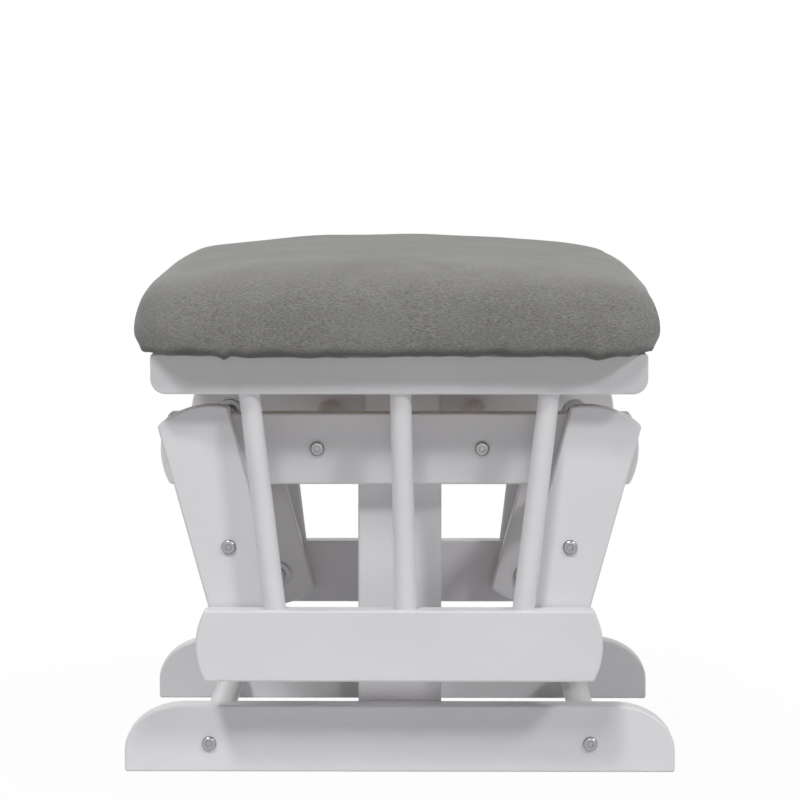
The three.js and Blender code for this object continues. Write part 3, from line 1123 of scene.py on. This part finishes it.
def setHardware(name, body, part, slot, spots):
    # each node has its spot: a point, and the turn about the upright axis
    points, turns = zip(*spots.values())
    mesh = bpy.data.meshes.new(name)
    mesh.from_pydata(points, [], [])
    markPoints(mesh, "facing", turns)
    item = addObject(name, mesh)
    values = {"Part": part, "Seed": hardware["seed"], "Finish": finishes[slot]}
    grow(item, hardwareOnPoints, values)
    dropMarks(item.data, "facing")
    smoothShade(item, hardware["sharpAngle"])
    finish(item, slot, body, *spots)


def seatedBolt(node, size, inward):
    # the seat of the head or washer, and the turn that sends the shank the right way
    low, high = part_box(node)
    spot = middle(node)
    height = size["headHeight"] + size.get("washerThickness", 0.0)
    headAtFront = (spot.y < 0) != inward
    y = low.y + height if headAtFront else high.y - height
    return (spot.x, y, spot.z), 0.0 if headAtFront else math.pi


def seatedBush(node):
    low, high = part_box(node)
    spot = middle(node)
    y, turn = (high.y, math.pi) if spot.y < 0 else (low.y, 0.0)
    return (spot.x, y, spot.z), turn


def buildHardware():
    parts = {
        "frameBolts": (boltShape("frameBoltPart", frameBolt), "bolt_steel"),
        "pivotBolts": (boltShape("pivotBoltPart", pivotBolt), "bolt_steel"),
        "bushes": (bushShape("bushPart", bushing), "nylon"),
    }
    for body, nodes in bodyNodes.items():
        spots = {name: {} for name in parts}
        for node in nodes:
            if "pivot_bolt" in node:
                spots["pivotBolts"][node] = seatedBolt(node, pivotBolt, True)
            elif "bolt" in node:
                spots["frameBolts"][node] = seatedBolt(node, frameBolt, False)
            elif "bush" in node:
                spots["bushes"][node] = seatedBush(node)
        for name, (part, slot) in parts.items():
            if spots[name]:
                setHardware(f"{name}.{body}", body, part, slot, spots[name])
    for part, slot in parts.values():
        bpy.data.objects.remove(part)


buildHardware()
print("bolts and bushes made")


# cushion: a crowned pad, swollen as cloth, then cut to size and tucked under at its hem
cushion = {
    "halfSize": (0.1865, 0.2335),
    "crown": 0.3845,
    "offset": -0.0016,
    "crownSag": (0.0159, 0.0132),
    "sagPower": 2.3,
    "rollWidth": (0.0406, 0.0375),
    "rollDepth": 0.0487,
    "rollPower": 2.8,
    "cornerPower": 1.86,
    "widestHeight": 0.327,
    "tuck": (0.008, 0.013),
    "waist": 0.003,
    "swell": 0.0022,
    "heldHeight": 0.03,
    "cornerSteps": 14,
    "sideSteps": 16,
    "rollRings": 14,
    "voxel": 0.005,
    "underShares": (0.2, 0.4, 0.6, 0.8),
    "wallRings": 7,
    "crownShares": (0.85, 0.7, 0.55, 0.4, 0.25, 0.1),
    "frames": 14,
    "cloth": {
        "quality": 5,
        "mass": 0.3,
        "tension_stiffness": 60,
        "compression_stiffness": 60,
        "bending_stiffness": 4,
        "use_pressure": True,
        "uniform_pressure_force": 4,
    },
}
hem = {
    "flat": 0.004,
    "pressPower": 1.6,
    "reach": 0.016,
    "drop": 0.0012,
    "clear": (0.001, 0.004),
    "cornerReach": (0.035, 0.005),
    "cornerLift": 0.6,
    "sideFacing": (0.1, 0.6),
    "topFacing": (0.25, 1.0),
    # the height of the band of painted shade along the bottom of the hem
    "band": (0.002, 0.008),
    # waves and wanders: depth, length and seed
    "wave": (0.0018, 0.05, 3),
    "ragged": (0.0009, 0.011, 23),
    "gather": (0.0009, 0.009, 5),
    "bandWander": (0.002, 0.02, 17),
    # on the front: place, width and drop
    "lumps": (
        (-0.122, 0.003, 0.0026),
        (-0.05, 0.05, 0.0012),
        (0.139, 0.008, 0.0024),
        (0.161, 0.004, 0.001),
    ),
}
creases = {
    # place, which side (-1 front, 1 rear), width and height of the soft upright ridges
    "ridges": (
        (0.137, -1, 0.003, 0.0019),
        (-0.105, -1, 0.004, -0.0007),
        (-0.098, 1, 0.003, 0.001),
        (0.12, 1, 0.004, -0.0008),
    ),
    "unevenness": (0.0011, 0.055, 11),
    "unevenRise": (0.004, 0.02),
}
halfX, halfY = cushion["halfSize"]
wideX, wideY = cushion["rollWidth"]
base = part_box("cushion")[0].z  # where it lies on the seat board


def planOutline():
    # straight sides joined by rounded corners; the sides need points of their own, because the
    # crown rises between the corners
    steps, sideSteps = cushion["cornerSteps"], cushion["sideSteps"]
    share = 2 / cushion["cornerPower"]
    points = []
    for quarter, (signX, signY) in enumerate(((1, 1), (-1, 1), (-1, -1), (1, -1))):
        for step in range(steps + 1):
            angle = math.pi / 2 * (quarter + step / steps)
            outX, outY = abs(math.cos(angle)) ** share, abs(math.sin(angle)) ** share
            x = signX * (halfX - wideX + wideX * outX)
            y = signY * (halfY - wideY + wideY * outY)
            points.append((x, y))
        # the next corner starts across the side
        farX, farY = (-x, y) if quarter % 2 == 0 else (x, -y)
        for step in range(1, sideSteps):
            part = step / sideSteps
            points.append((x + (farX - x) * part, y + (farY - y) * part))
    return points


def crownHeight(x, y):
    # the top sags from the middle of the crown and rolls over near the outline
    sagX, sagY = cushion["crownSag"]
    corner, power, sagPower = cushion["cornerPower"], cushion["rollPower"], cushion["sagPower"]
    rollX = max(0.0, abs(x) - halfX + wideX) / wideX
    rollY = max(0.0, abs(y) - halfY + wideY) / wideY
    out = min(1.0, (rollX**corner + rollY**corner) ** (1 / corner))
    roll = 1 - (1 - out**power) ** (1 / power)
    sag = sagX * abs(x / halfX) ** sagPower + sagY * abs(y / halfY) ** sagPower
    return cushion["crown"] - cushion["swell"] - sag - cushion["rollDepth"] * roll


def tucked(x, y, z):
    # below its widest height the side turns in under the cushion
    depth = max(0.0, (cushion["widestHeight"] - z) / (cushion["widestHeight"] - base))
    curl = 1 - math.sqrt(max(0.0, 1 - depth * depth))
    tuckX, tuckY = cushion["tuck"]
    return x * (1 - tuckX * curl / halfX), y * (1 - tuckY * curl / halfY), z


def cushionShell():
    rim = planOutline()
    # the underside and the wall, from the middle outwards and up
    rings = [[(x * share, y * share, base) for x, y in rim] for share in cushion["underShares"]]
    wall = cushion["wallRings"]
    for step in range(wall):
        rings.append([(x, y, base + (crownHeight(x, y) - base) * step / wall) for x, y in rim])
    # the roll over the edge, then the crown
    steps = cushion["rollRings"]
    for step in range(steps + 1):
        inward = 1 - math.cos(math.pi / 2 * step / steps)
        ring = []
        for x, y in rim:
            px = x - math.copysign(inward * wideX, x) * min(1.0, abs(x) / (halfX - wideX))
            py = y - math.copysign(inward * wideY, y) * min(1.0, abs(y) / (halfY - wideY))
            ring.append((px, py, crownHeight(px, py)))
        rings.append(ring)
    last = rings[-1]
    for share in cushion["crownShares"]:
        inner = [(x * share, y * share) for x, y, z in last]
        rings.append([(x, y, crownHeight(x, y)) for x, y in inner])
    shape = bmesh.new()
    loft(shape, [[tucked(*point) for point in ring] for ring in rings])
    bmesh.ops.recalc_face_normals(shape, faces=shape.faces)
    return fromBmesh("cushion.cover", shape)


def puffUp(item):
    # the cover swells as cloth under pressure; how far each point may move is capped
    rest = readPlaces(item.data)
    cloth = item.modifiers.new("cloth", "CLOTH")
    setAll(cloth.settings, cushion["cloth"])
    cloth.settings.effector_weights.gravity = 0
    cloth.collision_settings.use_collision = False
    cloth.point_cache.frame_start = 1
    cloth.point_cache.frame_end = cushion["frames"]
    for number in range(1, cushion["frames"] + 1):
        scene.frame_set(number)
    settle(item)
    scene.frame_set(1)
    moves = readPlaces(item.data) - rest
    length = np.linalg.norm(moves, axis=1, keepdims=True)
    print("cushion swelled by", round(float(length.mean()) * 1000, 1), "mm on average")
    moves *= np.minimum(1.0, cushion["swell"] / np.maximum(length, 1e-9))
    # the hem is held down on the seat board
    moves *= easeStep(rest[:, 2:] - base, 0, cushion["heldHeight"])
    writePlaces(item.data, rest + moves)


def easeStep(value, low, high):
    share = np.clip((value - low) / (high - low), 0, 1)
    return share * share * (3 - 2 * share)


def bump(value, centre, width):
    return np.exp(-(((value - centre) / width) ** 2))


def softNoise(places, depth, length, seed):
    # each seed starts at another place in the noise
    shift = Vector((seed * 1.7, seed * 0.9, seed * 2.3))
    return depth * np.array([noise.noise(Vector(place) / length + shift) for place in places])


def cutToSize(item):
    # the cover is brought to the cushion's size, and its sides pull in between the corners
    places = readPlaces(item.data)
    for axis, half in enumerate((halfX, halfY)):
        places[:, axis] *= half / np.abs(places[:, axis]).max()
    x, y, z = places.T.copy()
    places[:, 0] += cushion["offset"]
    # the pull is full in the middle of each side and nothing at the corners
    waist = cushion["waist"]
    places[:, 0] -= np.sign(x) * waist * (x / halfX) ** 4 * (1 - (y / halfY) ** 2) ** 2
    places[:, 1] -= np.sign(y) * waist * (y / halfY) ** 4 * (1 - (x / halfX) ** 2) ** 2
    rise = z - base
    flat = hem["flat"]
    pressed = flat * np.clip(rise / flat, 0, 1) ** hem["pressPower"]
    top = (cushion["crown"] - base - flat) / (rise.max() - flat)
    places[:, 2] = base + np.where(rise < flat, pressed, flat + (rise - flat) * top)
    writePlaces(item.data, places)


def tuckUnder(item):
    # the hem hangs a little past the rails in waves, and gathers; ridges run up the sides
    places, normals = readPlaces(item.data), readPlaces(item.data, "normal")
    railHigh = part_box("top_rail_rear")[1]
    x, y, z = places.T.copy()
    rise = z - base
    beyond = np.maximum(np.abs(x) - railHigh.x, np.abs(y) - railHigh.y)
    outside = easeStep(beyond, *hem["clear"])
    low = 1 - easeStep(rise, 0, hem["reach"])
    ground = np.column_stack((x, y, np.zeros_like(x)))
    drop = hem["drop"] + softNoise(ground, *hem["wave"]) + softNoise(ground, *hem["ragged"])
    for place, width, depth in hem["lumps"]:
        drop += depth * bump(x, place, width) * (y < 0)
    cornerStart, cornerEnd = (halfX - reach for reach in hem["cornerReach"])
    drop *= 1 - hem["cornerLift"] * easeStep(np.abs(x), cornerStart, cornerEnd)
    places[:, 2] -= drop * outside * low
    flat = normals * (1, 1, 0)
    upright = np.linalg.norm(flat, axis=1, keepdims=True)
    outward = flat / np.maximum(upright, 1e-6) * easeStep(upright, *hem["sideFacing"])
    push = softNoise(ground, *hem["gather"]) * low * outside
    for place, side, width, height in creases["ridges"]:
        push += height * bump(x, place, width) * (np.sign(y) == side)
    places += outward * push[:, None]
    uneven = softNoise(places, *creases["unevenness"])
    places += normals * (uneven * easeStep(rise, *creases["unevenRise"]))[:, None]
    writePlaces(item.data, places)
    # painted shade: the band along the tucked-under hem is darkened, and its edge wanders
    below = places[:, 2] - base + drop * outside + softNoise(ground, *hem["bandWander"])
    markPoints(item.data, "hemShade", 1 - easeStep(below, *hem["band"]))
    # faces that look up get the pressed nap and the lighter top of painted light
    markPoints(item.data, "pressedPile", easeStep(normals[:, 2], *hem["topFacing"]))


def buildCushion():
    item = cushionShell()
    modify(item, "REMESH", mode="VOXEL", voxel_size=cushion["voxel"])
    puffUp(item)
    cutToSize(item)
    modify(item, "SUBSURF", levels=1, render_levels=1)
    tuckUnder(item)
    item.data.shade_smooth()
    finish(item, "plush", "seat", "cushion")


buildCushion()
print("cushion made")


# floor, backdrop and light
studio = {
    "floor": (0.74, 0.74, 0.74),
    "floorSize": 8,
    "floorFaces": 8,
    "white": 0.965,
    "whiteFrom": (0.25, 0.6),
    "sky": 0.075,
}
# the way the light goes, its strength, and how wide it is in degrees
lamps = {
    "keyLight": ((0.45, 1.0, -1.6), 0.78, 6),
    "sideLight": ((-1.2, 1.0, -1.2), 0.9, 10),
    "frontLight": ((0.3, 1.0, -1.1), 0.53, 10),
    "lowLight": ((-0.1, 1.0, -0.16), 0.07, 14),
    "backLight": ((0.3, -1.0, -0.9), 0.5, 12),
    "topLight": ((0.1, 0.15, -1.0), 0.36, 20),
}


def seenDirectly(tree):
    path = addNode(tree, "ShaderNodeLightPath")
    seen = calc(tree, "MAXIMUM", path.outputs["Is Camera Ray"], path.outputs["Is Glossy Ray"])
    return calc(tree, "MAXIMUM", seen, path.outputs["Is Transmission Ray"])


def addFloor():
    shape = bmesh.new()
    faces = studio["floorFaces"]
    bmesh.ops.create_grid(shape, x_segments=faces, y_segments=faces, size=studio["floorSize"])
    item = fromBmesh("floor", shape)
    material = bpy.data.materials.new("floor")
    material.use_nodes = True
    tree = material.node_tree
    tree.nodes.clear()
    matte = result(tree, "ShaderNodeBsdfDiffuse", {"Color": (*studio["floor"], 1)})
    white = result(tree, "ShaderNodeEmission", {"Color": (1, 1, 1, 1), "Strength": 1.0})
    place = {0: objectPlace(tree)}
    away = addNode(tree, "ShaderNodeVectorMath", place, operation="LENGTH").outputs["Value"]
    fade = remap(tree, away, *studio["whiteFrom"], studio["white"])
    share = calc(tree, "MULTIPLY", seenDirectly(tree), fade)
    mix = result(tree, "ShaderNodeMixShader", {0: share, 1: matte, 2: white})
    plug(tree, addNode(tree, "ShaderNodeOutputMaterial").inputs[0], mix)
    item.data.materials.append(material)


def addWorld():
    world = bpy.data.worlds.new("studio")
    scene.world = world
    world.use_nodes = True
    tree = world.node_tree
    tree.nodes.clear()
    sky, white = (
        result(tree, "ShaderNodeBackground", {"Color": (1, 1, 1, 1), "Strength": strength})
        for strength in (studio["sky"], 1.0)
    )
    mix = result(tree, "ShaderNodeMixShader", {0: seenDirectly(tree), 1: sky, 2: white})
    plug(tree, addNode(tree, "ShaderNodeOutputWorld").inputs[0], mix)


def addSun(name, travel, strength, spread):
    lamp = bpy.data.lights.new(name, "SUN")
    lamp.energy = strength
    lamp.angle = math.radians(spread)
    holder = bpy.data.objects.new(name, lamp)
    holder.rotation_euler = Vector(travel).to_track_quat("-Z", "Y").to_euler()
    holder.location = -Vector(travel)
    scene.collection.objects.link(holder)


addFloor()
addWorld()
for name, light in lamps.items():
    addSun(name, *light)
scene.view_settings.view_transform = "Standard"
print("studio lit")
